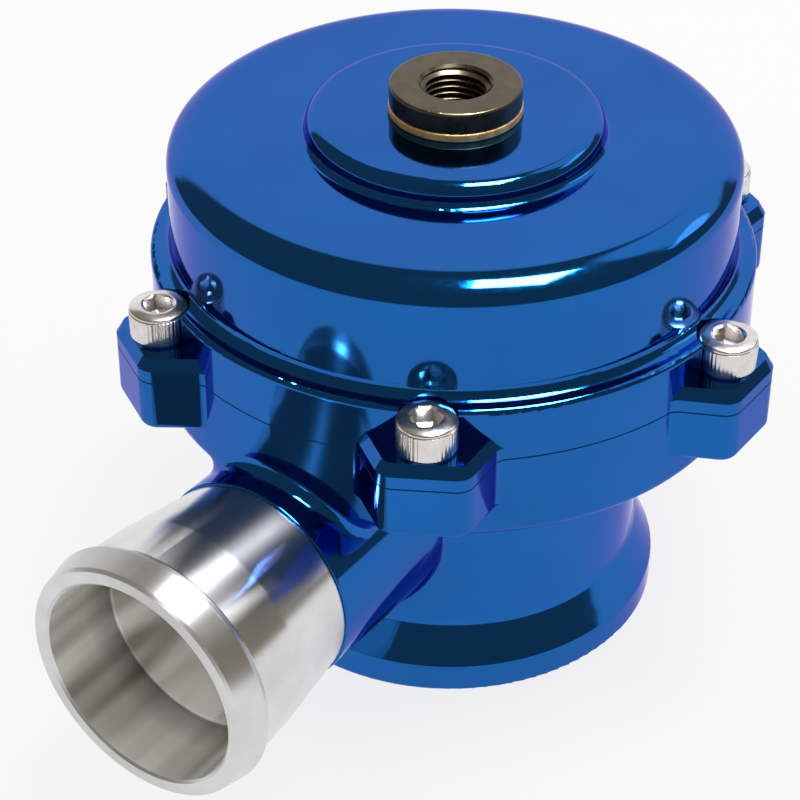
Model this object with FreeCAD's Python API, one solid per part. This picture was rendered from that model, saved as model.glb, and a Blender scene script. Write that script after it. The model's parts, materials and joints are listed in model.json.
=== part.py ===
import FreeCAD, Part
import math
import os

from FreeCAD import Vector

os.makedirs("parts", exist_ok=True)

# Blow-off valve. Millimetres, +Z up, +X towards the outlet.
# The origin is the centre of the inlet bore in the foot's flat face.

# Inlet, valve seat and foot
inlet_radius = 24.0
seat_height = 10.4            # height at which the bevelled seat leaves the inlet bore
seat_width = 2.5              # the seat's reach beyond the inlet bore
neck_wall = 2.9
foot_lip = 3.3                # how far the clamp rim stands out from the neck
foot_rim_height = 4.5
foot_taper_height = 6.5
foot_edge_radius = 0.5
foot_shoulder_radius = 1.2
neck_fillet = 3.0

# Outlet
throat_radius = 12.6
spigot_wall = 2.0
spigot_length = 13.0
boss_wall = 1.58
boss_reach = 4.4              # how far the boss stands out from the ring
boss_fillet = 2.0
boss_edge_radius = 0.3
outlet_height = 27.8

# Outlet tube, measured outwards from the boss
tube_shoulder_step = 0.35     # the tube's start is this much smaller than the boss
brushed_length = 12.5
brushed_rise = 1.75           # the brushed length widens by this much
cone_length = 8.2
cone_rise = 0.65
bead_ramp = 1.2
bead_rise = 1.0
bead_length = 4.2
bead_fall = 0.85
lip_fall = 0.45
lip_length = 0.4
mouth_widening = 3.2          # the mouth's bore is this much wider than the throat
mouth_depth = 12.4
mouth_chamfer = 0.4
throat_step = 1.0             # ledge between the mouth's bore and the throat's cone
throat_cone_length = 11.3

# Chamber floor, web and stem guide
floor_cover = 3.6             # metal between the outlet's bore and the diaphragm chamber
web_thickness = 6.0
chamber_corner = 3.0
guide_radius = 9.5
breather_radius = 1.2
breather_circle_radius = 15.0
breather_count = 4

# Moving group
lift = 8.0
lift_stop_gap = 0.6
head_overlap = 1.6            # how far the head reaches over the seat
head_recess = 0.3
head_edge_height = 1.0
head_crown = 1.5
head_hub_radius = 8.0
head_hub_fillet = 2.0
head_thickness = 6.7
stem_radius = 4.0
stud_radius = 3.0
stud_length = 11.0
valve_screw_radius = 2.5
valve_screw_head_radius = 4.7
valve_screw_key_width = 3.0
valve_screw_key_depth = 1.8
valve_screw_reach = 9.0
nut_width = 10.0
nut_height = 5.2
nut_corner_drop = 0.5
nut_corner_width = 0.9
washer_radius = 6.0
washer_thickness = 1.0

# Diaphragm and its plates
diaphragm_thickness = 1.0
plate_thickness = 1.5
lower_plate_margin = 0.7      # the lower plate is this much smaller than the cup
cup_radius = 31.2
cup_wall = 1.2
cup_height = 6.3
fold_gap = 2.9                # space between the two walls of the diaphragm's fold
fold_height = 3.0             # straight part of the fold above the clamped rim
diaphragm_land = 1.84         # metal between the diaphragm's rim and the screw holes
rest_gap = 1.2                # lower plate above the chamber's floor when the valve is shut
lower_chamber_depth = 9.0

# Spring
spring_radius = 20.0
spring_wire_radius = 1.6
spring_turns = 4.5
spring_guide_height = 2.0

# Stem guide, seal and snap ring
bushing_wall = 1.95
seal_radius = 8.0
seal_height = 3.4
seal_groove = 0.6
snap_ring_thickness = 1.0
snap_ring_width = 1.8
snap_ring_bite = 0.6          # how far the snap ring sits in its groove
snap_ring_gap_angle = 50.0

# Seal cords
valve_cord_radius = 0.8
valve_cord_depth = 0.6        # cord's centre below the head's bevel
outlet_cord_radius = 0.65
outlet_cord_place = 7.0       # from the boss's face
inlet_cord_radius = 1.0
inlet_groove_offset = 4.3     # cord's circle outside the inlet bore

# Ring and lobes
cap_wall = 4.66
ring_ledge = 3.04             # the ring stands out this far from the cap's wall
ring_depth = 13.5
ring_edge_radius = 2.0
lobe_count = 6
first_lobe_angle = 30.0
lobe_reach = 5.06             # lobe's flat end beyond the screw circle
lobe_half_width = 5.9
lobe_flare_angle = 26.0
lobe_depth = 8.1
lobe_corner_radius = 2.8
lobe_root_radius = 2.5
lobe_root_angle = 5.0         # at this slant the foot of a lobe's side runs into the ring
lobe_edge_radius = 1.0
lobe_chamfer_width = 1.0
lobe_chamfer_drop = 1.7
parting_edge = 0.12

# Cap
flange_height = 8.3
screw_seat_thickness = 3.67
cap_height = 25.85
flange_edge_radius = 0.8
wall_foot_radius = 1.8
cap_edge_width = 2.76         # cone between the wall's arc and the top's gentler arc
cap_edge_drop = 2.45
cap_edge_radius = 3.1
cap_shoulder_radius = 6.0
disc_radius = 21.6
disc_rise = 3.35
disc_edge_radius = 2.0
disc_foot_radius = 1.1
roof_thickness = 4.0
roof_corner_radius = 3.0
cap_cavity_step = 0.5

# Cap screws, M5 socket heads
screw_radius = 2.5
screw_length = 10.0
screw_head_radius = 4.25
screw_head_height = 5.0
screw_key_width = 4.0
screw_key_depth = 2.5
screw_head_edge = 0.45
screw_hole_spare = 1.2        # the tapped hole is this much deeper than the screw

# Signal port
collar_radius = 9.55
collar_height = 3.2
collar_edge = 0.4
port_washer_radius = 9.7
port_washer_thickness = 1.2
port_thread_radius = 5.0
port_thread_length = 10.0
port_mouth_chamfer = 0.4
port_orifice_radius = 2.5
port_shank_wall = 1.7
port_shank_length = 9.4

# Clearances
thread_fit = 0.02
press_fit = 0.01
seat_fit = 0.02
running_fit = 0.05
seal_fit = 0.1
bevel_gap = 0.35
cord_fit = 0.02
diaphragm_fit = 0.1
wall_fit = 0.3
pocket_fit = 0.25
screw_hole_fit = 0.25
pocket_wall_gap = 0.18        # the pockets keep this far from the cap's wall

# Radii that follow
chamber_radius = inlet_radius + seat_width
neck_radius = chamber_radius + neck_wall
foot_radius = neck_radius + foot_lip
spigot_radius = throat_radius + spigot_wall
boss_bore_radius = spigot_radius + seat_fit
boss_radius = boss_bore_radius + boss_wall
mouth_radius = throat_radius + mouth_widening
fold_inner_radius = cup_radius + diaphragm_fit
fold_outer_radius = fold_inner_radius + 2 * diaphragm_thickness + fold_gap
cavity_radius = fold_outer_radius + wall_fit
cap_cavity_radius = cavity_radius + cap_cavity_step
cap_radius = cap_cavity_radius + cap_wall
pocket_radius = screw_head_radius + pocket_fit
screw_circle_radius = cap_radius + pocket_radius + pocket_wall_gap
screw_hole_radius = screw_radius + screw_hole_fit
clamp_radius = screw_circle_radius - screw_hole_radius - diaphragm_land
ring_radius = cap_radius + ring_ledge
facet_distance = screw_circle_radius + lobe_reach
head_radius = inlet_radius + head_overlap
bushing_radius = stem_radius + running_fit + bushing_wall
spring_guide_radius = spring_radius - spring_wire_radius - wall_fit
port_shank_radius = port_thread_radius + port_shank_wall

# Heights that follow
neck_start = foot_rim_height + foot_taper_height
chamber_floor = outlet_height + throat_radius + floor_cover
chamber_top = chamber_floor - web_thickness
joint_height = chamber_floor + lower_chamber_depth
ring_bottom = joint_height - ring_depth
lobe_bottom = joint_height - lobe_depth
flange_top = joint_height + flange_height
screw_seat = joint_height + screw_seat_thickness
cap_top = joint_height + cap_height
disc_top = cap_top + disc_rise
roof_underside = cap_top - roof_thickness
head_bottom = seat_height + head_recess
hub_top = head_bottom + head_thickness
guide_bottom = hub_top + lift + lift_stop_gap
bushing_bottom = guide_bottom + lift_stop_gap
snap_ring_bottom = chamber_floor - rest_gap - snap_ring_thickness
seal_bottom = snap_ring_bottom - seal_height
lower_plate_bottom = chamber_floor + rest_gap
diaphragm_bottom = lower_plate_bottom + plate_thickness
cup_bottom = diaphragm_bottom + diaphragm_thickness
cup_floor = cup_bottom + plate_thickness
nut_bottom = cup_floor + washer_thickness
port_washer_top = disc_top + port_washer_thickness
collar_top = port_washer_top + collar_height

# Lengths along the outlet that follow
boss_face = ring_radius + boss_reach
spigot_seat = boss_face - spigot_length
brushed_end = boss_face + brushed_length
cone_end = brushed_end + cone_length
bead_start = cone_end + bead_ramp
bead_end = bead_start + bead_length
tube_end = bead_end + lip_length

vertical = Vector(0, 0, 1)
outward = Vector(1, 0, 0)
origin = Vector(0, 0, 0)


def rounded_wire(corners, place):
    """Closed wire through corners (u, v, radius), each rounded by a tangent arc."""
    count = len(corners)
    starts = []
    ends = []
    arcs = []
    for i in range(count):
        corner = Vector(corners[i][0], corners[i][1], 0)
        before = Vector(corners[i - 1][0], corners[i - 1][1], 0) - corner
        after = Vector(corners[(i + 1) % count][0], corners[(i + 1) % count][1], 0) - corner
        radius = corners[i][2]
        half_angle = before.getAngle(after) / 2
        before.normalize()
        after.normalize()
        reach = 0
        middle = None
        if radius > 0:
            bisector = (before + after).normalize()
            reach = radius / math.tan(half_angle)
            middle = corner + bisector * (radius / math.sin(half_angle) - radius)
        starts.append(corner + before * reach)
        ends.append(corner + after * reach)
        arcs.append(middle)
    edges = []
    for i in range(count):
        if arcs[i]:
            edges.append(Part.Arc(place(starts[i]), place(arcs[i]), place(ends[i])).toShape())
        run_start = place(ends[i])
        run_end = place(starts[(i + 1) % count])
        if run_start.distanceToPoint(run_end) > 1e-6:
            edges.append(Part.LineSegment(run_start, run_end).toShape())
    return Part.Wire(edges)


def turned(corners):
    """Solid turned about the valve's axis from corners (radius, height, rounding)."""
    wire = rounded_wire(corners, lambda p: Vector(p.x, 0, p.y))
    return Part.Face(wire).revolve(origin, vertical, 360)


def turned_on_outlet(corners):
    """Solid turned about the outlet's axis from corners (distance, radius, rounding)."""
    wire = rounded_wire(corners, lambda p: Vector(p.x, 0, outlet_height + p.y))
    return Part.Face(wire).revolve(Vector(0, 0, outlet_height), outward, 360)


def cylinder(radius, bottom, top, x=0.0, y=0.0):
    return Part.makeCylinder(radius, top - bottom, Vector(x, y, bottom), vertical)


def outlet_cylinder(radius, start, end):
    return Part.makeCylinder(radius, end - start, Vector(start, 0, outlet_height), outward)


def seal_cord(circle_radius, height, cord_radius):
    return Part.makeTorus(circle_radius, cord_radius, Vector(0, 0, height), vertical)


def hexagon_corner(width):
    return width / 2 / math.cos(math.radians(30))


def hexagon(width, bottom, top):
    corner_radius = hexagon_corner(width)
    points = []
    for i in range(6):
        angle = math.radians(60 * i)
        points.append(Vector(corner_radius * math.cos(angle), corner_radius * math.sin(angle), bottom))
    points.append(points[0])
    return Part.Face(Part.makePolygon(points)).extrude(Vector(0, 0, top - bottom))


def lobe_angles():
    return [first_lobe_angle + i * 360.0 / lobe_count for i in range(lobe_count)]


def around(shape, angle):
    """Copy of a shape turned about the valve's axis."""
    copy = shape.copy()
    copy.rotate(origin, vertical, angle)
    return copy


def in_lobes(shape):
    """One compound with a copy of a shape in each lobe."""
    return Part.makeCompound([around(shape, angle) for angle in lobe_angles()])


def edges_where(shape, test):
    return [edge for edge in shape.Edges if test(edge)]


def lobe_outline(height, inset):
    """One lobe on the +X side, drawn in by an inset: flat end, flared sides and hollow feet."""
    slope = math.radians(lobe_flare_angle)
    foot_radius_on_ring = ring_radius - inset
    half_width = lobe_half_width - inset * (1 - math.sin(slope)) / math.cos(slope)
    end = facet_distance - inset
    reach = half_width + end * math.tan(slope)
    side = reach * math.cos(slope)
    along = math.sqrt(foot_radius_on_ring ** 2 - side ** 2)
    root_x = along * math.cos(slope) + side * math.sin(slope)
    root_y = side * math.cos(slope) - along * math.sin(slope)
    run_in = math.radians(lobe_root_angle)
    inner_angle = math.atan2(root_y, root_x) + run_in
    inner_x = foot_radius_on_ring * math.cos(run_in) * math.cos(inner_angle)
    inner_y = foot_radius_on_ring * math.cos(run_in) * math.sin(inner_angle)
    core_x = inner_x - 2 * lobe_root_radius
    corners = [
        (core_x, -inner_y, 0),
        (inner_x, -inner_y, 0),
        (root_x, -root_y, lobe_root_radius + inset),
        (end, -half_width, lobe_corner_radius - inset),
        (end, half_width, lobe_corner_radius - inset),
        (root_x, root_y, lobe_root_radius + inset),
        (inner_x, inner_y, 0),
        (core_x, inner_y, 0),
    ]
    return rounded_wire(corners, lambda p: Vector(p.x, p.y, height))


def lobe_part(bottom, top, bottom_inset, top_inset):
    """Slice of a lobe between two heights with its own inset at each."""
    return Part.makeLoft([lobe_outline(bottom, bottom_inset), lobe_outline(top, top_inset)], True, True)


def is_boss_root(edge):
    """True where the boss runs into the ring, its underside or the upper part of the neck."""
    box = edge.BoundBox
    ends_on_boss = all(abs(math.hypot(v.Point.y, v.Point.z - outlet_height) - boss_radius) < 0.01
                       for v in edge.Vertexes)
    before_face = box.XMax < ring_radius + 0.1
    seam = box.YMax - box.YMin < 0.01 and abs(box.YMax) < 0.01
    return ends_on_boss and before_face and not seam and box.ZMax > outlet_height


def lies_at(edge, height):
    box = edge.BoundBox
    return abs(box.ZMin - height) < 0.001 and abs(box.ZMax - height) < 0.001


def beyond(edge, radius):
    return all(math.hypot(v.Point.x, v.Point.y) > radius for v in edge.Vertexes)


def housing_lobe():
    """Lower part of a lobe: its bottom edge is rounded and the joint's edge is broken."""
    joint_start = joint_height - parting_edge
    body = Part.Face(lobe_outline(lobe_bottom, 0)).extrude(Vector(0, 0, joint_start - lobe_bottom))
    outer_edges = edges_where(body, lambda edge: lies_at(edge, lobe_bottom) and beyond(edge, ring_radius - 1))
    body = body.makeFillet(lobe_edge_radius, outer_edges)
    return body.fuse(lobe_part(joint_start, joint_height, 0, parting_edge))


def cap_lobe():
    """Upper part of a lobe, up to the screw's seat, with a steep chamfer under it."""
    joint_end = joint_height + parting_edge
    chamfer_start = screw_seat - lobe_chamfer_drop
    body = lobe_part(joint_height, joint_end, parting_edge, 0)
    body = body.fuse(lobe_part(joint_end, chamfer_start, 0, 0))
    return body.fuse(lobe_part(chamfer_start, screw_seat, 0, lobe_chamfer_width))


def housing_outside():
    """Foot, neck and ring, with the lobes and the outlet boss."""
    body = turned([
        (0, 0, 0),
        (foot_radius, 0, foot_edge_radius),
        (foot_radius, foot_rim_height, foot_shoulder_radius),
        (neck_radius, neck_start, neck_fillet),
        (neck_radius, ring_bottom, neck_fillet),
        (ring_radius, ring_bottom, ring_edge_radius),
        (ring_radius, joint_height - parting_edge, 0),
        (ring_radius - parting_edge, joint_height, 0),
        (0, joint_height, 0),
    ])
    boss = outlet_cylinder(boss_radius, 0, boss_face)
    end_edges = edges_where(boss, lambda edge: edge.BoundBox.XMin > boss_face - 0.01)
    boss = boss.makeFillet(boss_edge_radius, end_edges)
    body = body.fuse(boss).removeSplitter()
    return body.makeFillet(boss_fillet, edges_where(body, is_boss_root))


def flow_passage():
    """Inlet bore, bevelled seat and flow chamber around the stem guide."""
    seat_top = seat_height + seat_width
    return turned([
        (0, 0, 0),
        (inlet_radius, 0, 0),
        (inlet_radius, seat_height, 0),
        (chamber_radius, seat_top, 0),
        (chamber_radius, chamber_top, chamber_corner),
        (guide_radius, chamber_top, chamber_corner),
        (guide_radius, guide_bottom, lift_stop_gap),
        (0, guide_bottom, 0),
    ])


def diaphragm_space():
    """Chamber under the diaphragm, and the recess that its rim is clamped in."""
    rim_floor = joint_height - diaphragm_thickness
    return turned([
        (0, chamber_floor, 0),
        (cavity_radius, chamber_floor, chamber_corner),
        (cavity_radius, rim_floor, 0),
        (clamp_radius, rim_floor, 0),
        (clamp_radius, joint_height, 0),
        (0, joint_height, 0),
    ])


def stem_passage():
    """Bores for the bushing and the seal, with the snap ring's groove."""
    groove_radius = seal_radius + snap_ring_bite
    snap_ring_top = snap_ring_bottom + snap_ring_thickness
    return turned([
        (0, guide_bottom, 0),
        (bushing_radius + press_fit, guide_bottom, 0),
        (bushing_radius + press_fit, seal_bottom, 0),
        (seal_radius, seal_bottom, 0),
        (seal_radius, snap_ring_bottom, 0),
        (groove_radius, snap_ring_bottom, 0),
        (groove_radius, snap_ring_top, 0),
        (seal_radius, snap_ring_top, 0),
        (seal_radius, chamber_floor, 0),
        (0, chamber_floor, 0),
    ])


def outlet_passage():
    """Bore from the flow chamber, widened where the tube's spigot seats."""
    inner_end = math.sqrt(chamber_radius ** 2 - throat_radius ** 2) - 1.0
    throat = outlet_cylinder(throat_radius, inner_end, spigot_seat)
    return throat.fuse(outlet_cylinder(boss_bore_radius, spigot_seat, boss_face))


def tapped_holes():
    """Holes in the lobes for the cap screws."""
    hole_bottom = screw_seat - screw_length - screw_hole_spare
    hole = cylinder(screw_radius + thread_fit, hole_bottom, joint_height, x=screw_circle_radius)
    return in_lobes(hole)


def breathers():
    """Holes that join the flow chamber and the space under the diaphragm."""
    hole = cylinder(breather_radius, chamber_top, chamber_floor, x=breather_circle_radius)
    step = 360.0 / breather_count
    return Part.makeCompound([around(hole, (i + 0.5) * step) for i in range(breather_count)])


def inlet_groove():
    """Square groove in the foot's face for the inlet's seal cord."""
    middle = inlet_radius + inlet_groove_offset
    half_width = inlet_cord_radius + cord_fit
    return turned([
        (middle - half_width, 0, 0),
        (middle + half_width, 0, 0),
        (middle + half_width, 2 * half_width, 0),
        (middle - half_width, 2 * half_width, 0),
    ])


def housing():
    body = housing_outside()
    body = body.fuse(in_lobes(housing_lobe()).Solids).removeSplitter()
    for passage in (flow_passage(), diaphragm_space(), stem_passage(), outlet_passage(),
                    tapped_holes(), breathers(), inlet_groove()):
        body = body.cut(passage)
    return body


def screw_pocket():
    """Round pocket for one screw head in the flange above the lobe's top."""
    return cylinder(pocket_radius, screw_seat, flange_top + wall_foot_radius, x=screw_circle_radius)


def cap_cavity():
    """Spring chamber, with a round guide left on the roof for the spring."""
    return turned([
        (0, joint_height, 0),
        (cap_cavity_radius, joint_height, 0),
        (cap_cavity_radius, roof_underside, roof_corner_radius),
        (spring_guide_radius, roof_underside, 0),
        (spring_guide_radius, roof_underside - spring_guide_height, 0.5),
        (0, roof_underside - spring_guide_height, 0),
    ])


def cap():
    body = turned([
        (0, joint_height, 0),
        (ring_radius - parting_edge, joint_height, 0),
        (ring_radius, joint_height + parting_edge, 0),
        (ring_radius, flange_top, flange_edge_radius),
        (cap_radius, flange_top, wall_foot_radius),
        (cap_radius, cap_top - cap_edge_drop, cap_edge_radius),
        (cap_radius - cap_edge_width, cap_top, cap_shoulder_radius),
        (disc_radius, cap_top, disc_foot_radius),
        (disc_radius, disc_top, disc_edge_radius),
        (0, disc_top, 0),
    ])
    body = body.fuse(in_lobes(cap_lobe()).Solids).removeSplitter()
    body = body.cut(cap_cavity())
    port_hole_bottom = roof_underside - 2 * spring_guide_height
    body = body.cut(cylinder(port_shank_radius + thread_fit, port_hole_bottom, disc_top))
    body = body.cut(in_lobes(screw_pocket()))
    hole = cylinder(screw_hole_radius, joint_height, screw_seat, x=screw_circle_radius)
    return body.cut(in_lobes(hole))


def cap_screw():
    """One socket head screw on the valve's axis, with its head's underside at the seat."""
    head_top = screw_seat + screw_head_height
    screw = turned([
        (0, screw_seat - screw_length, 0),
        (screw_radius, screw_seat - screw_length, 0.4),
        (screw_radius, screw_seat, 0),
        (screw_head_radius, screw_seat, 0),
        (screw_head_radius, head_top, screw_head_edge),
        (0, head_top, 0),
    ])
    socket = hexagon(screw_key_width, head_top - screw_key_depth, head_top)
    return screw.cut(socket)


def cap_screws():
    screw = cap_screw()
    screw.translate(Vector(screw_circle_radius, 0, 0))
    return in_lobes(screw)


def outlet_tube():
    """Hose end: spigot, brushed length, polished cone, bead and mouth."""
    start = spigot_seat + seal_fit
    start_radius = boss_radius - tube_shoulder_step
    brushed_radius = start_radius + brushed_rise
    cone_radius = brushed_radius + cone_rise
    bead_radius = cone_radius + bead_rise
    bead_end_radius = bead_radius - bead_fall
    cord_start = boss_face - outlet_cord_place - outlet_cord_radius - seal_fit
    cord_end = boss_face - outlet_cord_place + outlet_cord_radius + seal_fit
    cord_floor = boss_bore_radius - 2 * outlet_cord_radius - 2 * cord_fit
    ledge = tube_end - mouth_depth
    return turned_on_outlet([
        (start, throat_radius, 0.3),
        (start, spigot_radius, 0.4),
        (cord_start, spigot_radius, 0),
        (cord_start, cord_floor, 0),
        (cord_end, cord_floor, 0),
        (cord_end, spigot_radius, 0),
        (boss_face, spigot_radius, 0),
        (boss_face, start_radius, 0.15),
        (brushed_end, brushed_radius, 0),
        (cone_end, cone_radius, 0.6),
        (bead_start, bead_radius, 0.5),
        (bead_end, bead_end_radius, 0.3),
        (tube_end, bead_end_radius - lip_fall, 0.15),
        (tube_end, mouth_radius + mouth_chamfer, 0),
        (tube_end - mouth_chamfer, mouth_radius, 0),
        (ledge, mouth_radius, 0),
        (ledge, mouth_radius - throat_step, 0.15),
        (ledge - throat_cone_length, throat_radius, 0),
    ])


def outlet_o_ring():
    ring = seal_cord(boss_bore_radius - outlet_cord_radius - cord_fit, 0, outlet_cord_radius)
    ring.rotate(origin, Vector(0, 1, 0), 90)
    ring.translate(Vector(boss_face - outlet_cord_place, 0, outlet_height))
    return ring


def port_washer():
    return turned([
        (port_shank_radius + seal_fit, disc_top, 0),
        (port_washer_radius, disc_top, 0.25),
        (port_washer_radius, port_washer_top, 0.25),
        (port_shank_radius + seal_fit, port_washer_top, 0),
    ])


def port_fitting():
    """Threaded fitting: collar, shank through the roof, port thread and orifice."""
    bottom = port_washer_top - port_shank_length
    thread_end = collar_top - port_thread_length
    return turned([
        (port_orifice_radius, bottom, 0),
        (port_shank_radius, bottom, 0.5),
        (port_shank_radius, port_washer_top, 0),
        (collar_radius, port_washer_top, 0.2),
        (collar_radius, collar_top, collar_edge),
        (port_thread_radius + port_mouth_chamfer, collar_top, 0),
        (port_thread_radius, collar_top - port_mouth_chamfer, 0),
        (port_thread_radius, thread_end, 0),
        (port_orifice_radius, thread_end, 0),
    ])


def stem_bushing():
    return turned([
        (stem_radius + running_fit, bushing_bottom, 0.3),
        (bushing_radius, bushing_bottom, 0.3),
        (bushing_radius, seal_bottom, 0),
        (stem_radius + running_fit, seal_bottom, 0),
    ])


def stem_seal():
    """Seal ring with a groove in its upper face that spreads its lips."""
    inner = stem_radius + seal_fit
    outer = seal_radius - cord_fit
    middle = (inner + outer) / 2
    top = seal_bottom + seal_height
    return turned([
        (inner, seal_bottom, 0.2),
        (outer, seal_bottom, 0),
        (outer, top, 0.2),
        (middle + seal_groove, top, 0),
        (middle + seal_groove, top - seal_height / 2, 0),
        (middle - seal_groove, top - seal_height / 2, 0),
        (middle - seal_groove, top, 0),
        (inner, top, 0.2),
    ])


def seal_retainer():
    """Snap ring with an open gap, in the groove above the seal."""
    outer = seal_radius + snap_ring_bite - cord_fit
    ring = turned([
        (outer - snap_ring_width, snap_ring_bottom, 0),
        (outer, snap_ring_bottom, 0),
        (outer, snap_ring_bottom + snap_ring_thickness, 0),
        (outer - snap_ring_width, snap_ring_bottom + snap_ring_thickness, 0),
    ])
    reach = 2 * outer
    half = math.radians(snap_ring_gap_angle / 2)
    points = [
        Vector(0, 0, snap_ring_bottom),
        Vector(-reach * math.cos(half), -reach * math.sin(half), snap_ring_bottom),
        Vector(-reach * math.cos(half), reach * math.sin(half), snap_ring_bottom),
        Vector(0, 0, snap_ring_bottom),
    ]
    gap = Part.Face(Part.makePolygon(points)).extrude(Vector(0, 0, snap_ring_thickness))
    return ring.cut(gap)


def inlet_o_ring():
    return seal_cord(inlet_radius + inlet_groove_offset, inlet_cord_radius + cord_fit, inlet_cord_radius)


def diaphragm():
    """Moulded diaphragm: a flat middle, a wall that folds over itself and a clamped rim."""
    thickness = diaphragm_thickness
    fold_top = joint_height + fold_height + thickness + fold_gap / 2
    rim_bottom = joint_height - thickness
    inner_face = fold_inner_radius + thickness
    outer_face = fold_outer_radius - thickness
    return turned([
        (stud_radius + seal_fit, diaphragm_bottom, 0),
        (inner_face, diaphragm_bottom, 1.5),
        (inner_face, fold_top - thickness, fold_gap / 2 - 0.01),
        (outer_face, fold_top - thickness, fold_gap / 2 - 0.01),
        (outer_face, rim_bottom, 1.3),
        (clamp_radius - seal_fit, rim_bottom, 0),
        (clamp_radius - seal_fit, joint_height, 0),
        (fold_outer_radius, joint_height, 0.3),
        (fold_outer_radius, fold_top, fold_gap / 2 + thickness - 0.01),
        (fold_inner_radius, fold_top, fold_gap / 2 + thickness - 0.01),
        (fold_inner_radius, cup_bottom, 0.5),
        (stud_radius + seal_fit, cup_bottom, 0),
    ])


def lower_plate():
    radius = cup_radius - lower_plate_margin
    return turned([
        (stud_radius + seal_fit, lower_plate_bottom, 0),
        (radius, lower_plate_bottom, plate_thickness / 2 - 0.01),
        (radius, diaphragm_bottom, plate_thickness / 2 - 0.01),
        (stud_radius + seal_fit, diaphragm_bottom, 0),
    ])


def upper_plate():
    """Cup that carries the spring, with a raised ring that centres it."""
    return turned([
        (stud_radius + seal_fit, cup_bottom, 0),
        (cup_radius, cup_bottom, 0.6),
        (cup_radius, cup_bottom + cup_height, 0.3),
        (cup_radius - cup_wall, cup_bottom + cup_height, 0.3),
        (cup_radius - cup_wall, cup_floor, 1.0),
        (spring_guide_radius, cup_floor, 0),
        (spring_guide_radius, cup_floor + spring_guide_height, 0.5),
        (spring_guide_radius - plate_thickness, cup_floor + spring_guide_height, 0.5),
        (spring_guide_radius - plate_thickness, cup_floor, 0),
        (stud_radius + seal_fit, cup_floor, 0),
    ])


def valve_spring():
    """Round wire coil between the cup's floor and the cap's roof."""
    bottom = cup_floor + spring_wire_radius + cord_fit
    top = roof_underside - spring_wire_radius - cord_fit
    pitch = (top - bottom) / spring_turns
    helix = Part.makeHelix(pitch, top - bottom, spring_radius)
    helix.translate(Vector(0, 0, bottom))
    path = helix.Edges[0]
    start = path.valueAt(path.FirstParameter)
    section = Part.Wire(Part.makeCircle(spring_wire_radius, start, path.tangentAt(path.FirstParameter)))
    return Part.Wire(helix.Edges).makePipeShell([section], True, True)


def valve_head():
    """Disc with a bevel for the seat, a cord groove in it, a crown and a hub."""
    bevel_bottom = inlet_radius + head_recess - bevel_gap
    bevel_top = seat_height + head_overlap + bevel_gap
    edge_top = bevel_top + head_edge_height
    cone_depth = valve_screw_head_radius - valve_screw_radius
    head = turned([
        (valve_screw_head_radius + cord_fit, head_bottom, 0),
        (bevel_bottom, head_bottom, 0.2),
        (head_radius, bevel_top, 0.2),
        (head_radius, edge_top, 0.4),
        (head_hub_radius, edge_top + head_crown, head_hub_fillet),
        (head_hub_radius, hub_top, 0.6),
        (valve_screw_radius + cord_fit, hub_top, 0),
        (valve_screw_radius + cord_fit, head_bottom + cone_depth, 0),
    ])
    groove = seal_cord(valve_cord_circle(), valve_cord_height(), valve_cord_radius + cord_fit)
    return head.cut(groove)


def valve_cord_circle():
    """Radius of the seal cord's circle, inside the middle of the head's bevel."""
    middle = (inlet_radius + head_recess - bevel_gap + head_radius) / 2
    return middle - valve_cord_depth / math.sqrt(2)


def valve_cord_height():
    middle = (head_bottom + seat_height + head_overlap + bevel_gap) / 2
    return middle + valve_cord_depth / math.sqrt(2)


def valve_o_ring():
    return seal_cord(valve_cord_circle(), valve_cord_height(), valve_cord_radius)


def valve_screw():
    """Countersunk screw that holds the head to the stem from below."""
    cone_depth = valve_screw_head_radius - valve_screw_radius
    screw = turned([
        (0, head_bottom, 0),
        (valve_screw_head_radius, head_bottom, 0),
        (valve_screw_radius, head_bottom + cone_depth, 0),
        (valve_screw_radius, hub_top + valve_screw_reach, 0.4),
        (0, hub_top + valve_screw_reach, 0),
    ])
    socket = hexagon(valve_screw_key_width, head_bottom, head_bottom + valve_screw_key_depth)
    return screw.cut(socket)


def valve_stem():
    """Stem with a shoulder under the plates and a blind tapped hole in its lower end."""
    hole_top = hub_top + valve_screw_reach + screw_hole_spare
    return turned([
        (valve_screw_radius + thread_fit, hub_top, 0),
        (stem_radius, hub_top, 0.3),
        (stem_radius, lower_plate_bottom, 0.3),
        (stud_radius, lower_plate_bottom, 0),
        (stud_radius, lower_plate_bottom + stud_length, 0.5),
        (0, lower_plate_bottom + stud_length, 0),
        (0, hole_top, 0),
        (valve_screw_radius + thread_fit, hole_top, 0),
    ])


def stem_washer():
    return turned([
        (stud_radius + seal_fit, cup_floor, 0),
        (washer_radius, cup_floor, 0.2),
        (washer_radius, nut_bottom, 0.2),
        (stud_radius + seal_fit, nut_bottom, 0),
    ])


def stem_nut():
    """Hexagon nut with its corners turned down at the top."""
    nut_top = nut_bottom + nut_height
    corner_radius = hexagon_corner(nut_width)
    turned_down = turned([
        (0, nut_bottom, 0),
        (corner_radius, nut_bottom, 0),
        (corner_radius, nut_top - nut_corner_drop, 0),
        (corner_radius - nut_corner_width, nut_top, 0),
        (0, nut_top, 0),
    ])
    nut = hexagon(nut_width, nut_bottom, nut_top).common(turned_down)
    return nut.cut(cylinder(stud_radius + thread_fit, nut_bottom, nut_top))


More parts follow.
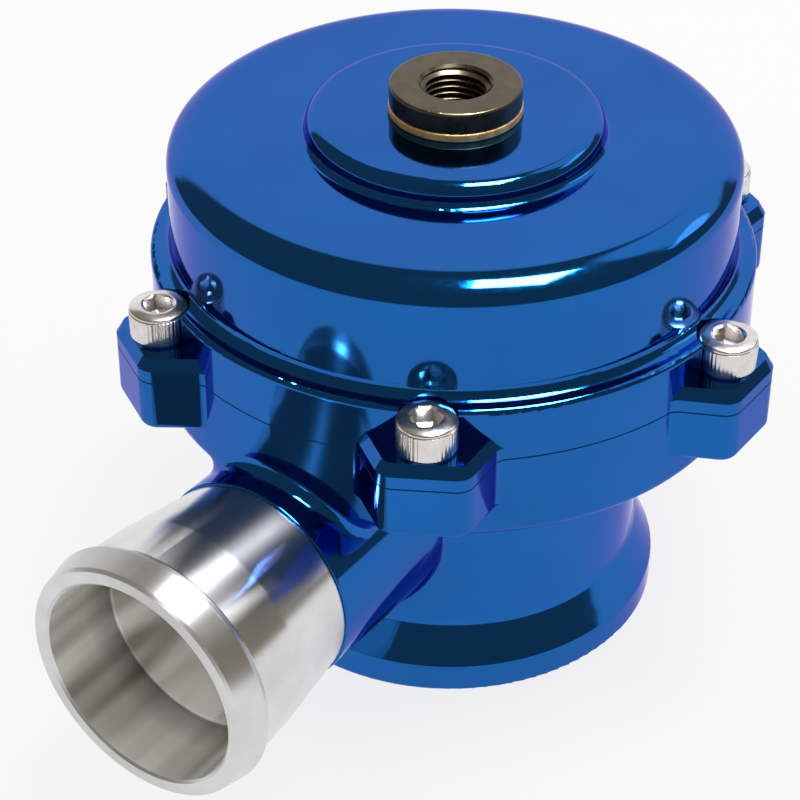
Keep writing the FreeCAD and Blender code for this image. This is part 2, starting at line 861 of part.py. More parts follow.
pieces = {
    "housing": housing,
    "cap": cap,
    "cap_screws": cap_screws,
    "outlet_tube": outlet_tube,
    "outlet_o_ring": outlet_o_ring,
    "port_fitting": port_fitting,
    "port_washer": port_washer,
    "stem_bushing": stem_bushing,
    "stem_seal": stem_seal,
    "seal_retainer": seal_retainer,
    "inlet_o_ring": inlet_o_ring,
    "diaphragm": diaphragm,
    "lower_plate": lower_plate,
    "upper_plate": upper_plate,
    "valve_spring": valve_spring,
    "valve_head": valve_head,
    "valve_o_ring": valve_o_ring,
    "valve_screw": valve_screw,
    "valve_stem": valve_stem,
    "stem_washer": stem_washer,
    "stem_nut": stem_nut,
}

for name, make in pieces.items():
    shape = make()
    shape.exportStep(f"parts/{name}.step")
    print(name, "solids", len(shape.Solids), "valid", shape.isValid(), "volume", round(shape.Volume, 1))
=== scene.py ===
import json
import math

import bpy
from mathutils import Euler, Matrix, Vector


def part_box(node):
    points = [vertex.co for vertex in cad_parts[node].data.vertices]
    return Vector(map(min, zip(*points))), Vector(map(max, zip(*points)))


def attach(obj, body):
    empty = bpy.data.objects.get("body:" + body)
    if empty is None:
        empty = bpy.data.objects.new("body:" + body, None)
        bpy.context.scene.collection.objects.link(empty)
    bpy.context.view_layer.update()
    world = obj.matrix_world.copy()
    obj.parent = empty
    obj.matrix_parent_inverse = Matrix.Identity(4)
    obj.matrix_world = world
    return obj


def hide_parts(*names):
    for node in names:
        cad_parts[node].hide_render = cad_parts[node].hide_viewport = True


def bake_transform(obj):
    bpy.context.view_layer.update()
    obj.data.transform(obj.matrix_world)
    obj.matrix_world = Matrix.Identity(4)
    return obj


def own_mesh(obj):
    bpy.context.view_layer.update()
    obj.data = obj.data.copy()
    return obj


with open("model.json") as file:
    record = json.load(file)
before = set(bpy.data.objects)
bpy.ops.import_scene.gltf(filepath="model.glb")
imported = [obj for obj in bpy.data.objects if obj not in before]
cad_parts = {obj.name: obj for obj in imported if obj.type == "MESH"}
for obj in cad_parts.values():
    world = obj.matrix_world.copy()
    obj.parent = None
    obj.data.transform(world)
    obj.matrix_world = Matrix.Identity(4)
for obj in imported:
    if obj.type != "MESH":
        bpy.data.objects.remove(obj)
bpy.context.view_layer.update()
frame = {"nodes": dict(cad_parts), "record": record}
nodes = frame["nodes"]
mm = 0.001
print("frame loaded with", len(nodes), "CAD nodes")


# Small helpers

def toLinear(hexColour):
    channels = []
    for start in (1, 3, 5):
        value = int(hexColour[start:start + 2], 16) / 255
        channels.append(value / 12.92 if value <= 0.04045 else ((value + 0.055) / 1.055) ** 2.4)
    return (*channels, 1.0)


def addNode(tree, kind, inputs=None, **settings):
    node = tree.nodes.new(kind)
    for name, value in settings.items():
        setattr(node, name, value)
    for name, value in (inputs or {}).items():
        if isinstance(value, bpy.types.NodeSocket):
            tree.links.new(value, node.inputs[name])
        else:
            node.inputs[name].default_value = value
    return node


def startMaterial(name, look):
    material = bpy.data.materials.new(name)
    material.use_nodes = True
    tree = material.node_tree
    shader = tree.nodes["Principled BSDF"]
    shader.inputs["Base Color"].default_value = toLinear(look["colour"])
    shader.inputs["Metallic"].default_value = look["metallic"]
    shader.inputs["Roughness"].default_value = look["roughness"]
    place = addNode(tree, "ShaderNodeTexCoord").outputs["Object"]  # metres, the same frame as the CAD
    return material, tree, shader, place


def twoTones(tree, amount, low, high):
    # low and high are (position, colour) pairs of a ramp
    ramp = addNode(tree, "ShaderNodeValToRGB", {"Fac": amount})
    for element, (position, colour) in zip(ramp.color_ramp.elements, (low, high)):
        element.position = position
        element.color = toLinear(colour)
    return ramp.outputs["Color"]


def changeAt(tree, value, place, blur, before, after):
    # before as far as place, after beyond it; place and blur are in mm
    return addNode(tree, "ShaderNodeMapRange", {
        "Value": value, "From Min": (place - blur) * mm, "From Max": (place + blur) * mm,
        "To Min": before, "To Max": after}).outputs["Result"]


def noise(tree, place, size, **settings):
    # size is the width of its patches in mm
    return addNode(tree, "ShaderNodeTexNoise", {
        "Vector": place, "Scale": 1 / (size * mm), **settings}).outputs["Fac"]


def surfaceBump(tree, shader, height, depth):
    # depth is in mm
    bump = addNode(tree, "ShaderNodeBump", {"Height": height, "Strength": 1.0, "Distance": depth * mm})
    tree.links.new(bump.outputs["Normal"], shader.inputs["Normal"])


def onCircle(radius, angle, height):
    return radius * math.cos(angle), radius * math.sin(angle), height


def facing(heading, rise):
    # the way of a heading from +X and a rise above the floor, both in degrees
    turn = math.radians(heading)
    lift = math.radians(rise)
    return Vector((math.cos(turn) * math.cos(lift), math.sin(turn) * math.cos(lift), math.sin(lift)))


smoothUnder = 32    # degrees, sharper folds of a made mesh stay edges


def makeMesh(name, points, faces, material):
    mesh = bpy.data.meshes.new(name)
    mesh.from_pydata(points, [], faces)
    mesh.validate()
    mesh.polygons.foreach_set("use_smooth", [True] * len(mesh.polygons))
    mesh.set_sharp_from_angle(angle=math.radians(smoothUnder))
    mesh.materials.append(material)
    piece = bpy.data.objects.new(name, mesh)
    bpy.context.scene.collection.objects.link(piece)
    return piece


def joinRings(rings, closed=False):
    # rings of equally many points, joined by four-sided faces into one skin
    count = len(rings[0])
    points = [point for ring in rings for point in ring]
    faces = []
    last = len(rings) if closed else len(rings) - 1
    for k in range(last):
        here = k * count
        there = ((k + 1) % len(rings)) * count
        for i in range(count):
            j = (i + 1) % count
            faces.append((here + i, here + j, there + j, there + i))
    return points, faces


def closeEnds(points, faces, count):
    faces.append(tuple(reversed(range(count))))
    faces.append(tuple(range(len(points) - count, len(points))))


def sweptTube(name, line, section, material):
    # section gives (outwards, upwards) offsets, set square to the line at each of its points
    rings = []
    for i, point in enumerate(line):
        ahead = line[min(i + 1, len(line) - 1)]
        behind = line[max(i - 1, 0)]
        along = (ahead - behind).normalized()
        outwards = Vector((point.x, point.y, 0)).normalized()
        upwards = along.cross(outwards).normalized()
        upwards = upwards if upwards.z > 0 else -upwards
        rings.append([tuple(point + outwards * a + upwards * b) for a, b in section(i / (len(line) - 1))])
    points, faces = joinRings(rings)
    closeEnds(points, faces, len(rings[0]))
    return makeMesh(name, points, faces, material)


def helixLine(radius, bottom, top, turns, stepsPerTurn):
    steps = round(turns * stepsPerTurn)
    line = []
    for i in range(steps + 1):
        share = i / steps
        angle = 2 * math.pi * turns * share
        line.append(Vector(onCircle(radius, angle, bottom + (top - bottom) * share)))
    return line


# Finishes

anodisedLook = {
    "colour": "#2263AF",       # the whole surface's blue, for a viewer that reads no nodes
    "deepDye": "#025BA6",
    "paleDye": "#0460B1",
    "dyePatch": 21.0,          # mm, the dye takes deeper in patches of this width
    "metallic": 1.0,
    "roughness": 0.07,
    "glossiest": 0.8,          # share of the roughness where the wheel polished best
    "dullest": 1.5,
    "scuff": 0.9,              # mm, patches where the gloss changes
    "edgeTint": "#BDB5F0",     # what the dyed film gives back at a low angle
    "coat": 0.3,               # the sealed film's own gloss, uncoloured
    "coatRoughness": 0.04,
    "polishWave": 7.0,         # mm, hand polishing leaves swells about this wide
    "polishDepth": 0.0009,     # mm
}


def anodisedAluminium(name, look):
    # Polished, then dyed and sealed: mirror gloss with soft swells from the buffing wheel
    material, tree, shader, place = startMaterial(name, look)
    swell = noise(tree, place, look["polishWave"], Detail=2.0, Roughness=0.4)
    surfaceBump(tree, shader, swell, look["polishDepth"])
    haze = noise(tree, place, look["scuff"], Detail=6.0, Roughness=0.62)
    gloss = addNode(tree, "ShaderNodeMapRange", {
        "Value": haze, "From Min": 0.35, "From Max": 0.72,
        "To Min": look["roughness"] * look["glossiest"], "To Max": look["roughness"] * look["dullest"]})
    depth = noise(tree, place, look["dyePatch"], Detail=3.0)
    tone = twoTones(tree, depth, (0.3, look["deepDye"]), (0.7, look["paleDye"]))
    tree.links.new(tone, shader.inputs["Base Color"])
    tree.links.new(gloss.outputs["Result"], shader.inputs["Roughness"])
    shader.inputs["Specular Tint"].default_value = toLinear(look["edgeTint"])
    shader.inputs["Coat Weight"].default_value = look["coat"]
    shader.inputs["Coat Roughness"].default_value = look["coatRoughness"]
    return material


turnedLook = {
    # heights and lengths in mm: along the outlet from the valve's axis, and outwards from the tube's axis
    "axisHeight": 27.8,
    "polishedFrom": 61.6,      # along, where the polished cone starts
    "beadFrom": 69.8,          # along, where the bead starts
    "ledge": 63.2,             # along, the corner where the mouth's bore ends
    "boreReach": 15.83,        # outwards, all that lies nearer is bore
    "ledgeReach": 15.2,        # outwards, nearer than this lies the throat
    "colour": "#DEDCD9",       # for a viewer that reads no nodes
    "deepTone": "#D3D2D1",
    "paleTone": "#E1E1E3",
    "tonePatch": 7.0,          # mm
    "metallic": 1.0,
    "roughness": 0.19,         # of the polished cone
    "turnedRoughness": 0.185,
    "beadRoughness": 0.36,
    "spread": 0.88,            # the lines spread a reflection along the tube, hardly at all round it
    "feed": 0.16,              # mm, the lathe's feed per turn, drawn a little coarse so that it shows
    "feedDepth": 0.006,        # mm
    "linesLeft": 0.2,          # share of that depth left by polishing
    "boredRoughness": 0.36,
    # the bore's values are fitted to the tones of the photo, they aren't those of bare metal
    "boredMetallic": 0.3,
    "boreStreak": 5.6,         # mm, width of the painted streaks that stand for reflections
    "boreDark": "#A09A90",
    "borePale": "#FFFDF8",
    "paintedThroatLight": 1.3,         # painted light: the throat is painted paler, its tone as a share of the bore's
    "cornerShade": 0.5,        # painted shade in the ledge's corner, as a share of the bore's tone
    "cornerWidth": 5.0,        # mm
}


def turnedAluminium(name, look):
    # Turned on a lathe: fine rings round the outlet, brushed near the boss, bright on the cone
    # and satin on the bead; the streaks and shade in the bore are painted on to follow the photo
    material, tree, shader, place = startMaterial(name, look)
    along = addNode(tree, "ShaderNodeSeparateXYZ", {"Vector": place}).outputs["X"]
    fromAxis = addNode(tree, "ShaderNodeVectorMath", {
        0: place, 1: (0.0, 0.0, look["axisHeight"] * mm)}, operation="SUBTRACT")
    across = addNode(tree, "ShaderNodeVectorMath", {
        0: fromAxis.outputs["Vector"], 1: (0.0, 1.0, 1.0)}, operation="MULTIPLY")
    reach = addNode(tree, "ShaderNodeVectorMath", {
        0: across.outputs["Vector"]}, operation="LENGTH").outputs["Value"]
    edgeBlur = 0.05    # mm
    boreBlur = 0.02    # mm

    ringPlace = addNode(tree, "ShaderNodeVectorMath", {
        0: place, 1: (1.0, 0.03, 0.03)}, operation="MULTIPLY")
    rings = noise(tree, ringPlace.outputs["Vector"], look["feed"], Detail=3.0, Roughness=0.7)
    lineDepth = changeAt(tree, along, look["polishedFrom"], edgeBlur, 1.0, look["linesLeft"])
    height = addNode(tree, "ShaderNodeMath", {0: rings, 1: lineDepth}, operation="MULTIPLY")
    surfaceBump(tree, shader, height.outputs["Value"], look["feedDepth"])

    beadGloss = changeAt(tree, along, look["beadFrom"], edgeBlur, look["roughness"], look["beadRoughness"])
    outside = changeAt(tree, along, look["polishedFrom"], edgeBlur, look["turnedRoughness"], beadGloss)
    gloss = changeAt(tree, reach, look["boreReach"], boreBlur, look["boredRoughness"], outside)
    mirrorShare = changeAt(tree, reach, look["boreReach"], boreBlur, look["boredMetallic"], look["metallic"])

    patches = noise(tree, place, look["tonePatch"], Detail=4.0)
    tone = twoTones(tree, patches, (0.3, look["deepTone"]), (0.7, look["paleTone"]))
    # painted reflections: pale and dark streaks along the bore
    streakPlace = addNode(tree, "ShaderNodeVectorMath", {
        0: place, 1: (0.05, 1.0, 1.0)}, operation="MULTIPLY")
    streaks = noise(tree, streakPlace.outputs["Vector"], look["boreStreak"], Detail=1.4)
    boreTone = twoTones(tree, streaks, (0.34, look["boreDark"]), (0.6, look["borePale"]))
    # painted shade, darker towards the ledge's corner
    cornerShade = addNode(tree, "ShaderNodeMapRange", {
        "Value": along, "From Min": look["ledge"] * mm,
        "From Max": (look["ledge"] + look["cornerWidth"]) * mm, "To Min": look["cornerShade"], "To Max": 1.0})
    # painted light on the throat and painted shade in the ledge's corner, as shares of the bore's tone
    boreShade = changeAt(tree, reach, look["ledgeReach"], boreBlur, look["paintedThroatLight"],
                         cornerShade.outputs["Result"])
    shaded = addNode(tree, "ShaderNodeVectorMath", {0: boreTone, "Scale": boreShade}, operation="SCALE")
    outsideShare = changeAt(tree, reach, look["boreReach"], boreBlur, 0.0, 1.0)
    skin = addNode(tree, "ShaderNodeMix", {
        0: outsideShare, 6: shaded.outputs["Vector"], 7: tone}, data_type="RGBA")    # 6 and 7 take colours

    around = addNode(tree, "ShaderNodeTangent", direction_type="RADIAL", axis="X")
    tree.links.new(skin.outputs[2], shader.inputs["Base Color"])
    tree.links.new(gloss, shader.inputs["Roughness"])
    tree.links.new(mirrorShare, shader.inputs["Metallic"])
    tree.links.new(around.outputs["Tangent"], shader.inputs["Tangent"])
    shader.inputs["Anisotropic"].default_value = look["spread"]
    shader.inputs["Anisotropic Rotation"].default_value = 0.25
    return material


def machinedMetal(name, look):
    # Turned or milled and left so: rings about the valve's axis and a slight change of tone
    material, tree, shader, place = startMaterial(name, look)
    flat = addNode(tree, "ShaderNodeVectorMath", {0: place, 1: (1.0, 1.0, 0.0)}, operation="MULTIPLY")
    reach = addNode(tree, "ShaderNodeVectorMath", {0: flat.outputs["Vector"]}, operation="LENGTH")
    rise = addNode(tree, "ShaderNodeSeparateXYZ", {"Vector": place})
    line = addNode(tree, "ShaderNodeCombineXYZ", {"X": reach.outputs["Value"], "Y": rise.outputs["Z"]})
    rings = noise(tree, line.outputs["Vector"], look["feed"], Detail=2.0, Roughness=0.6)
    surfaceBump(tree, shader, rings, look["feedDepth"])
    stain = noise(tree, place, look["stain"], Detail=4.0, Roughness=0.6)
    tone = twoTones(tree, stain, (0.3, look["shade"]), (0.7, look["colour"]))
    gloss = addNode(tree, "ShaderNodeMapRange", {
        "Value": stain, "From Min": 0.3, "From Max": 0.7,
        "To Min": look["roughness"] * 0.85, "To Max": look["roughness"] * 1.3})
    tree.links.new(tone, shader.inputs["Base Color"])
    tree.links.new(gloss.outputs["Result"], shader.inputs["Roughness"])
    return material


def mouldedRubber(name, look):
    # Pressed in a mould: matte, with a fine orange-peel skin and a pale bloom
    material, tree, shader, place = startMaterial(name, look)
    peel = noise(tree, place, look["grain"], Detail=3.0)
    surfaceBump(tree, shader, peel, look["grainDepth"])
    bloom = noise(tree, place, look["bloomPatch"], Detail=3.0)
    tone = twoTones(tree, bloom, (0.35, look["colour"]), (0.75, look["bloom"]))
    tree.links.new(tone, shader.inputs["Base Color"])
    return material


# feed, stain, grain and bloomPatch are widths in mm, the depths are in mm too
plainLook = {"colour": "#C6C7C8", "shade": "#B4B5B7", "metallic": 1.0, "roughness": 0.24,
             "feed": 0.2, "feedDepth": 0.0014, "stain": 6.0}
stainlessLook = {"colour": "#E3E0DE", "shade": "#D0CBC8", "metallic": 1.0, "roughness": 0.2,
                 "feed": 0.25, "feedDepth": 0.0008, "stain": 2.5}
springLook = {"colour": "#8E9094", "shade": "#77797E", "metallic": 1.0, "roughness": 0.3,
              "feed": 0.3, "feedDepth": 0.001, "stain": 4.0}
darkFittingLook = {"colour": "#5E5546", "shade": "#50483B", "metallic": 1.0, "roughness": 0.28,
                   "feed": 0.22, "feedDepth": 0.001, "stain": 3.0}
brassLook = {"colour": "#D9B266", "shade": "#C08A55", "metallic": 0.6, "roughness": 0.42,
             "feed": 0.2, "feedDepth": 0.001, "stain": 1.8}
bronzeLook = {"colour": "#B08A58", "shade": "#94713F", "metallic": 1.0, "roughness": 0.32,
              "feed": 0.2, "feedDepth": 0.0015, "stain": 3.0}
sealLook = {"colour": "#191919", "bloom": "#2A2A29", "metallic": 0.0, "roughness": 0.5,
            "grain": 0.12, "grainDepth": 0.004, "bloomPatch": 1.68}
diaphragmLook = {"colour": "#1D1D1E", "bloom": "#313130", "metallic": 0.0, "roughness": 0.62,
                 "grain": 0.35, "grainDepth": 0.02, "bloomPatch": 4.9}

finishes = {
    "blue_anodised": anodisedAluminium("anodisedAluminiumPolished", anodisedLook),
    "turned_aluminium": turnedAluminium("aluminiumTurned", turnedLook),
    "plain_aluminium": machinedMetal("aluminiumMachined", plainLook),
    "stainless_steel": machinedMetal("stainlessSteelColdFormed", stainlessLook),
    "spring_steel": machinedMetal("springSteelDrawn", springLook),
    "dark_fitting": machinedMetal("steelDarkPlated", darkFittingLook),
    "brass_washer": machinedMetal("brassPunched", brassLook),
    "bronze": machinedMetal("bronzeBored", bronzeLook),
    "black_rubber": mouldedRubber("nitrileRubberMoulded", sealLook),
    "diaphragm_rubber": mouldedRubber("diaphragmRubberMoulded", diaphragmLook),
}
print("finishes made:", len(finishes))


# The CAD nodes take the finish of the slot that the record gives them

def dressNodes():
    for row in frame["record"]["subparts"]:
        mesh = nodes[row["node"]].data
        mesh.materials.clear()
        mesh.materials.append(finishes[row["material_slot"]])


dressNodes()
print("CAD nodes dressed")


# Socket head screws of the cap

screwSizes = {
    "headRadius": 4.25 * mm,
    "headHeight": 5.0 * mm,
    "shankRadius": 2.5 * mm,
    "keyWidth": 4.0 * mm,
    "keyDepth": 2.5 * mm,
    "ridges": 44,               # of the knurl
    "ridgeDepth": 0.07 * mm,
    "rimHeight": 0.9 * mm,      # smooth part above the knurl
    "firstLobe": 30,            # degrees
    "keyTurns": (12, 41, 5, 22, 33, 50),    # degrees, where each key socket happened to stop
}


def screwRings(sizes, shankLength):
    # outlines from the shank's end up, over the head and down into the key socket, as (radius, height)
    pointsPerRidge = 4
    count = sizes["ridges"] * pointsPerRidge
    valley = (0.0, 0.5, 1.0, 0.5)
    top = sizes["headHeight"]
    radius = sizes["headRadius"]
    key = sizes["keyWidth"] / 2

    def plain(r, z):
        return lambda i: (r, z)

    def knurled(z):
        return lambda i: (radius - sizes["ridgeDepth"] * valley[i % pointsPerRidge], z)

    def hexagonal(z):
        def edge(i):
            angle = (i / count * 360) % 60 - 30
            return key / math.cos(math.radians(angle)), z
        return edge

    smooth = radius - 0.1 * mm
    profile = [
        plain(0.4 * mm, -shankLength),
        plain(sizes["shankRadius"] - 0.4 * mm, -shankLength),
        plain(sizes["shankRadius"], -shankLength + 0.4 * mm),
        plain(sizes["shankRadius"], 0),
        plain(smooth - 0.2 * mm, 0),
        plain(smooth - 0.1 * mm, 0.25 * mm),
        knurled(0.4 * mm),
        knurled(top - sizes["rimHeight"]),
        plain(smooth - 0.08 * mm, top - sizes["rimHeight"] + 0.12 * mm),
        plain(smooth, top - sizes["rimHeight"] + 0.22 * mm),
        plain(smooth, top - 0.5 * mm),
        plain(smooth - 0.08 * mm, top - 0.36 * mm),
        plain(smooth - 0.3 * mm, top - 0.23 * mm),
        plain(key * 1.42, top - 0.03 * mm),
        plain(key * 1.3, top),
        plain(key * 1.22, top),
        hexagonal(top - 0.22 * mm),
        hexagonal(top - sizes["keyDepth"]),
        plain(0.3 * mm, top - sizes["keyDepth"] - 0.9 * mm),
    ]
    rings = []
    for ring in profile:
        row = []
        for i in range(count):
            r, z = ring(i)
            row.append(Vector(onCircle(r, 2 * math.pi * i / count, z)))
        rings.append(row)
    return rings


def capScrews():
    low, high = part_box("cap_screws")
    circle = high.y - screwSizes["headRadius"]
    seat = high.z - screwSizes["headHeight"]
    rings = screwRings(screwSizes, seat - low.z)
    for k, turn in enumerate(screwSizes["keyTurns"]):
        angle = math.radians(screwSizes["firstLobe"] + 60 * k)
        centre = Vector(onCircle(circle, angle, seat))
        spin = Euler((0, 0, math.radians(turn))).to_matrix()
        placed = [[tuple(centre + spin @ point) for point in ring] for ring in rings]
        points, faces = joinRings(placed)
        closeEnds(points, faces, len(placed[0]))
        screw = makeMesh(f"cap_screw_{k + 1}", points, faces, finishes["stainless_steel"])
        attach(screw, "body")
        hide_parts("cap_screws")


capScrews()
print("cap screws made")


# Thread of the signal port

portThread = {
    "boreRadius": 5.0 * mm,
    "pitch": 1.0 * mm,
    "depth": 0.6 * mm,
    "length": 9.3 * mm,
    "fromTop": 0.55 * mm,
    "fadeTurns": 0.4,           # the ridge runs out over these at each end
    "stepsPerTurn": 72,
}


def signalPortThread():
    low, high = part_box("port_fitting")
    top = high.z - portThread["fromTop"]
    bottom = top - portThread["length"]
    turns = (top - bottom) / portThread["pitch"]
    halfFoot = 0.46 * portThread["pitch"]
    halfCrest = 0.07 * portThread["pitch"]
    sunk = 0.04 * mm
    fade = portThread["fadeTurns"] / turns

    def section(share):
        rise = min(1.0, share / fade, (1.0 - share) / fade)
        depth = max(0.02, rise) * portThread["depth"]
        return [(sunk, -halfFoot), (-depth, -halfCrest), (-depth, halfCrest), (sunk, halfFoot)]

    line = helixLine(portThread["boreRadius"], bottom, top, turns, portThread["stepsPerTurn"])
    thread = sweptTube("signal_port_thread", line, section, finishes["dark_fitting"])
    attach(thread, "body")


signalPortThread()
print("signal port thread made")


# Coil spring, drawn at rest; on the valve it shortens as the valve lifts

coil = {
    "radius": 20.0 * mm,
    "wireRadius": 1.6 * mm,
    "turns": 4.5,
    "stepsPerTurn": 48,
    "sides": 18,
    "endGap": 0.02 * mm,        # between the wire and the cap's roof
}


def coilSpring():
    low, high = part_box("valve_spring")

    def section(share):
        steps = range(coil["sides"])
        return [onCircle(coil["wireRadius"], 2 * math.pi * k / coil["sides"], 0)[:2] for k in steps]

    line = helixLine(coil["radius"], low.z + coil["wireRadius"], high.z - coil["wireRadius"],
                     coil["turns"], coil["stepsPerTurn"])
    spring = sweptTube("coil_spring", line, section, finishes["spring_steel"])
    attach(spring, "body")
    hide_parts("valve_spring")
    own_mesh(spring)


coilSpring()
print("coil spring made")


# Rolling diaphragm in two pieces: the middle and the clamped rim, which goes with the body; on the valve the
# middle lifts with the plates

fold = {
    "thickness": 1.0 * mm,
    "boreRadius": 3.1 * mm,
    "innerRadius": 31.3 * mm,
    "outerRadius": 36.2 * mm,
    "joint": 53.0 * mm,         # height at which cap and housing meet
    "bend": 1.2 * mm,           # from the flat middle and rim up into the fold
    "spare": 0.2 * mm,
    "slant": 0.5 * mm,          # inside that bend
    "fadeAbove": 2.0 * mm,      # the lift fades out this far above the fold
    "steps": 120,
}


def lathe(name, outline, material):
    rings = []
    for r, z in outline:
        rings.append([onCircle(r, 2 * math.pi * i / fold["steps"], z) for i in range(fold["steps"])])
    points, faces = joinRings(rings, closed=True)
    return makeMesh(name, points, faces, material)


def arcPoints(centre, radius, start, end, steps):
    points = []
    for i in range(steps + 1):
        angle = math.radians(start + (end - start) * i / steps)
        points.append((centre[0] + radius * math.cos(angle), centre[1] + radius * math.sin(angle)))
    return points


def rollingDiaphragm():
    low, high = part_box("diaphragm")
    thick = fold["thickness"]
    bend = fold["bend"]
    bore = fold["boreRadius"]
    inner = fold["innerRadius"]
    foldRadius = (fold["outerRadius"] - inner) / 2
    foldCentre = ((inner + fold["outerRadius"]) / 2, high.z - foldRadius)
    bendFrom = inner - fold["spare"]
    centreOutline = [(bore, low.z), (bendFrom, low.z)]
    centreOutline += arcPoints((bendFrom, low.z + bend), bend, -90, 0, 5)
    centreOutline += arcPoints(foldCentre, foldRadius - thick, 180, 92, 7)
    centreOutline += arcPoints(foldCentre, foldRadius, 92, 180, 7)
    centreOutline += [(inner, low.z + thick + fold["slant"]), (inner - fold["slant"], low.z + thick),
                      (bore, low.z + thick)]
    centre = lathe("diaphragm_centre", centreOutline, finishes["diaphragm_rubber"])
    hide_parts("diaphragm")
    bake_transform(centre)

    top = fold["joint"]
    bottom = top - thick
    outer = fold["outerRadius"]
    rimOutline = [(high.x, bottom), (high.x, top), (outer + fold["spare"], top)]
    rimOutline += arcPoints(foldCentre, foldRadius, 0, 90, 8)
    rimOutline += arcPoints(foldCentre, foldRadius - thick, 90, 0, 8)
    rimOutline += [(outer - thick, bottom + bend), (outer, bottom)]
    rim = lathe("diaphragm_rim", rimOutline, finishes["diaphragm_rubber"])
    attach(rim, "body")
    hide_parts("diaphragm")


rollingDiaphragm()
print("diaphragm made")


# Camera at the photograph's viewing angle

camera = {
    "place": (0.2523, 0.16878, 0.25155),
    "heading": 215.26,          # degrees from +X, towards +Y
    "tilt": -36.04,
    "roll": 0.136,
    "lens": 108.66,             # mm
    "sensor": 36.0,             # mm
}


def placeCamera():
    data = bpy.data.cameras.new("viewCamera")
    data.lens = camera["lens"]
    data.sensor_width = camera["sensor"]
    data.clip_start = 0.01
    data.clip_end = 20.0
    eye = bpy.data.objects.new("viewCamera", data)
    bpy.context.scene.collection.objects.link(eye)
    ahead = facing(camera["heading"], camera["tilt"])
    roll = Euler((0, 0, math.radians(camera["roll"]))).to_quaternion()
    eye.location = camera["place"]
    eye.rotation_mode = "QUATERNION"
    eye.rotation_quaternion = ahead.to_track_quat("-Z", "Y") @ roll
    bpy.context.scene.camera = eye


placeCamera()
print("camera placed")


# Floor, room and lamps

studio = {
    "floorSize": 3.0,           # metres, half its width
    "floorColour": "#F4F4F4",
    "floorShown": 0.8,          # share of plain white that camera and mirrors see, the rest keeps the shadow
    "roomColour": "#FFFFFF",
    "roomLevel": 0.72,          # what soft things are lit with
    "darkColour": "#817C6F",    # the unlit part of the room, as metal sees it
    "litPatches": (             # degrees: heading from +X, rise above the floor, reach round that
        (215.26, 0.0, 47.0),    # the wall behind the object
        (165.0, 42.0, 19.0),    # the panel above it on the right
    ),
    "patchEdge": 2.5,           # degrees
}


def makeFloor():
    half = studio["floorSize"]
    material = bpy.data.materials.new("paintedBoard")
    material.use_nodes = True
    tree = material.node_tree
    tree.nodes.remove(tree.nodes["Principled BSDF"])
    paint = addNode(tree, "ShaderNodeBsdfDiffuse", {"Color": toLinear(studio["floorColour"])})
    white = addNode(tree, "ShaderNodeEmission", {"Color": toLinear(studio["roomColour"]), "Strength": 1.0})
    path = addNode(tree, "ShaderNodeLightPath")
    seen = addNode(tree, "ShaderNodeMath", {
        0: path.outputs["Is Camera Ray"], 1: path.outputs["Is Glossy Ray"]}, operation="MAXIMUM")
    through = addNode(tree, "ShaderNodeMath", {
        0: seen.outputs["Value"], 1: path.outputs["Is Transmission Ray"]}, operation="MAXIMUM")
    share = addNode(tree, "ShaderNodeMath", {
        0: through.outputs["Value"], 1: studio["floorShown"]}, operation="MULTIPLY")
    mixed = addNode(tree, "ShaderNodeMixShader", {
        "Fac": share.outputs["Value"], 1: paint.outputs["BSDF"], 2: white.outputs["Emission"]})
    tree.links.new(mixed.outputs["Shader"], tree.nodes["Material Output"].inputs["Surface"])
    points = [(-half, -half, 0), (half, -half, 0), (half, half, 0), (-half, half, 0)]
    floor = makeMesh("studio_floor", points, [(0, 1, 2, 3)], material)


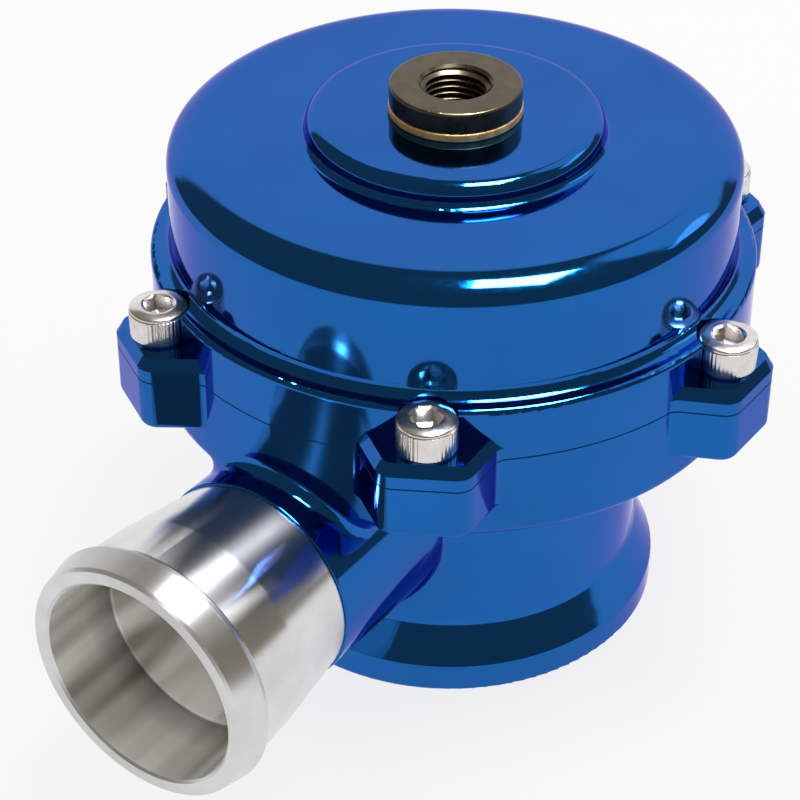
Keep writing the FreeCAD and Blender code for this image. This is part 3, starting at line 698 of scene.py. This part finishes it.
def makeRoom():
    world = bpy.data.worlds.new("softRoom")
    bpy.context.scene.world = world
    world.use_nodes = True
    tree = world.node_tree
    for node in list(tree.nodes):
        tree.nodes.remove(node)
    way = addNode(tree, "ShaderNodeTexCoord").outputs["Generated"]
    lit = 0.0
    for heading, rise, reach in studio["litPatches"]:
        towards = addNode(tree, "ShaderNodeVectorMath", {
            0: way, 1: facing(heading, rise)}, operation="DOT_PRODUCT")
        patch = addNode(tree, "ShaderNodeMapRange", {
            "Value": towards.outputs["Value"],
            "From Min": math.cos(math.radians(reach + studio["patchEdge"])),
            "From Max": math.cos(math.radians(reach - studio["patchEdge"]))}, interpolation_type="SMOOTHSTEP")
        either = addNode(tree, "ShaderNodeMath", {0: lit, 1: patch.outputs["Result"]}, operation="MAXIMUM")
        lit = either.outputs["Value"]
    path = addNode(tree, "ShaderNodeLightPath")
    soft = addNode(tree, "ShaderNodeBackground", {
        "Color": toLinear(studio["roomColour"]), "Strength": studio["roomLevel"]})
    unlit = addNode(tree, "ShaderNodeBackground", {
        "Color": toLinear(studio["darkColour"]), "Strength": 1.0})
    backdrop = addNode(tree, "ShaderNodeBackground", {
        "Color": toLinear(studio["roomColour"]), "Strength": 1.0})
    mirrored = addNode(tree, "ShaderNodeMixShader", {
        "Fac": lit, 1: unlit.outputs["Background"], 2: backdrop.outputs["Background"]})
    glossy = addNode(tree, "ShaderNodeMixShader", {
        "Fac": path.outputs["Is Glossy Ray"], 1: soft.outputs["Background"], 2: mirrored.outputs["Shader"]})
    seen = addNode(tree, "ShaderNodeMath", {
        0: path.outputs["Is Camera Ray"], 1: path.outputs["Is Transmission Ray"]}, operation="MAXIMUM")
    final = addNode(tree, "ShaderNodeMixShader", {
        "Fac": seen.outputs["Value"], 1: glossy.outputs["Shader"], 2: backdrop.outputs["Background"]})
    addNode(tree, "ShaderNodeOutputWorld", {"Surface": final.outputs["Shader"]})


lamps = {
    # places and sizes are in metres, and each lamp's length runs along its heading, in degrees from +X;
    # only metal shows the overhead lamp, as its bright streaks, so that it adds no light to soft things
    "overhead": {"place": (-0.11, 0.18, 1.02), "heading": 35.26, "length": 0.38, "width": 0.30,
                 "radiance": 70.0, "onlyMirrored": True},
    "sideStrip": {"place": (-0.60, 0.48, 0.57), "heading": 54.0, "length": 0.40, "width": 0.16,
                  "radiance": 1.6, "onlyMirrored": False},
    "softTop": {"place": (-0.11, 0.18, 1.05), "heading": 35.26, "length": 0.38, "width": 0.30,
                "radiance": 7.0, "onlyMirrored": False},
}


def makeLamps():
    target = Vector((0, 0, 0.05))       # the middle of the valve
    for name, lamp in lamps.items():
        data = bpy.data.lights.new(name, "AREA")
        data.shape = "RECTANGLE"
        data.size = lamp["width"]
        data.size_y = lamp["length"]
        data.energy = lamp["radiance"] * math.pi * lamp["width"] * lamp["length"]
        holder = bpy.data.objects.new(name, data)
        holder.location = lamp["place"]
        back = (holder.location - target).normalized()
        side = facing(lamp["heading"], 0).cross(back).normalized()
        holder.rotation_mode = "QUATERNION"
        holder.rotation_quaternion = Matrix((side, back.cross(side), back)).transposed().to_quaternion()
        holder.visible_diffuse = not lamp["onlyMirrored"]
        bpy.context.scene.collection.objects.link(holder)


makeFloor()
makeRoom()
makeLamps()
bpy.context.scene.view_settings.view_transform = "Standard"
print("floor, room and lamps set")
